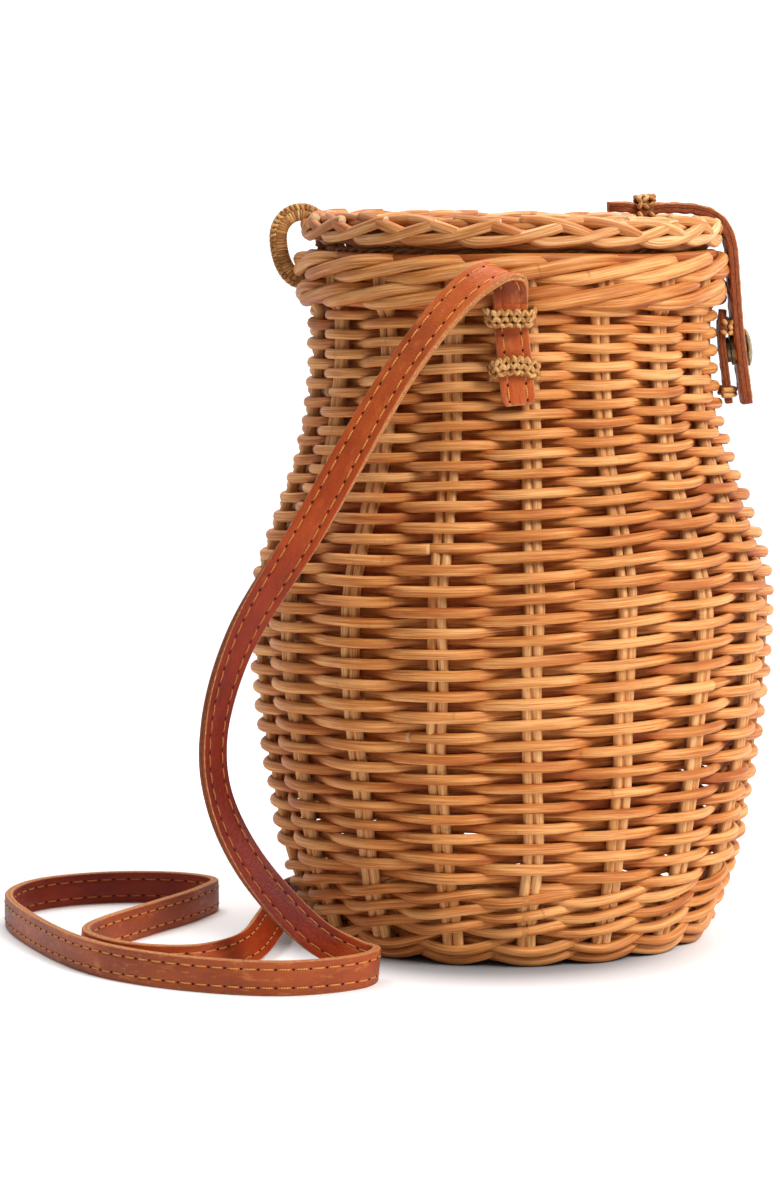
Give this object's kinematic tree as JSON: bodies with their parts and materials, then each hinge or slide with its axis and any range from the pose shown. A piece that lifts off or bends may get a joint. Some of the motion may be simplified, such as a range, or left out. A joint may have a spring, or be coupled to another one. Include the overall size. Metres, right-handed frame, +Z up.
{
  "type": "wicker bucket bag",
  "caption": "Round-bellied wicker bucket bag with a cane-hinged woven lid, leather snap closure and long leather shoulder strap.",
  "frame": {"origin": "on the basket's vertical axis, on the surface the foot stands on", "axes": "+Z up along the basket's axis, +X towards the snap closure, -X towards the lid's hinge ring, the shoulder strap is held at -Y and +Y"},
  "size_m": [0.2588, 0.2053, 0.2451],
  "materials": {
    "woven_reed": "peeled rattan reed, natural, light honey with darker streaks, satin",
    "stake_reed": "peeled rattan rod, fine grain along the rod, matt",
    "border_reed": "thicker rattan rod, honey, satin",
    "lid_reed": "paler rattan rod, satin",
    "cane": "thin flat cane binding, smooth",
    "leather": "cognac vegetable-tanned leather, two layers, yellow lockstitch near both edges",
    "brass": "antiqued brass, satin",
    "snap_steel": "blackened steel"
  },
  "bodies": {
    "basket": {"side_weave_lower": "woven_reed", "side_weave_belly": "woven_reed", "side_weave_shoulder": "woven_reed", "base_weave": "woven_reed", "stake_pair_01": "stake_reed", "stake_pair_02": "stake_reed", "stake_pair_03": "stake_reed", "stake_pair_04": "stake_reed", "stake_pair_05": "stake_reed", "stake_pair_06": "stake_reed", "stake_pair_07": "stake_reed", "stake_pair_08": "stake_reed", "stake_pair_09": "stake_reed", "stake_pair_10": "stake_reed", "stake_pair_11": "stake_reed", "stake_pair_12": "stake_reed", "stake_pair_13": "stake_reed", "stake_pair_14": "stake_reed", "stake_pair_15": "stake_reed", "stake_pair_16": "stake_reed", "stake_pair_17": "stake_reed", "foot_border": "border_reed", "rim_wale": "border_reed", "rim_border": "border_reed", "hinge_ring_core": "cane", "hinge_ring_wrap": "cane", "front_keeper_upper": "cane", "front_keeper_lower": "cane", "back_keeper_upper": "cane", "back_keeper_lower": "cane", "tab_keeper_upper": "cane", "tab_keeper_lower": "cane", "closure_tab": "leather", "shoulder_strap": "leather", "shoulder_strap_front_end": "leather", "shoulder_strap_back_end": "leather", "snap_stud": "snap_steel"},
    "lid": {"lid_border": "lid_reed", "lid_weave": "lid_reed", "lid_plug_ring": "lid_reed", "lid_keeper": "cane", "closure_strap": "leather"},
    "closure_flap": {"closure_flap": "leather", "snap_cap": "brass", "snap_socket": "snap_steel"}
  },
  "joints": [
    {"name": "lid_hinge", "type": "hinge", "parent": "basket", "child": "lid", "pos_m": [-0.069, 0, 0.2346], "axis": [0, -1, 0], "range_deg": [0, 120]},
    {"name": "closure_flap_lift", "type": "hinge", "parent": "lid", "child": "closure_flap", "pos_m": [0.0655, 0, 0.24335], "axis": [0, -1, 0], "range_deg": [0, 100]}
  ]
}
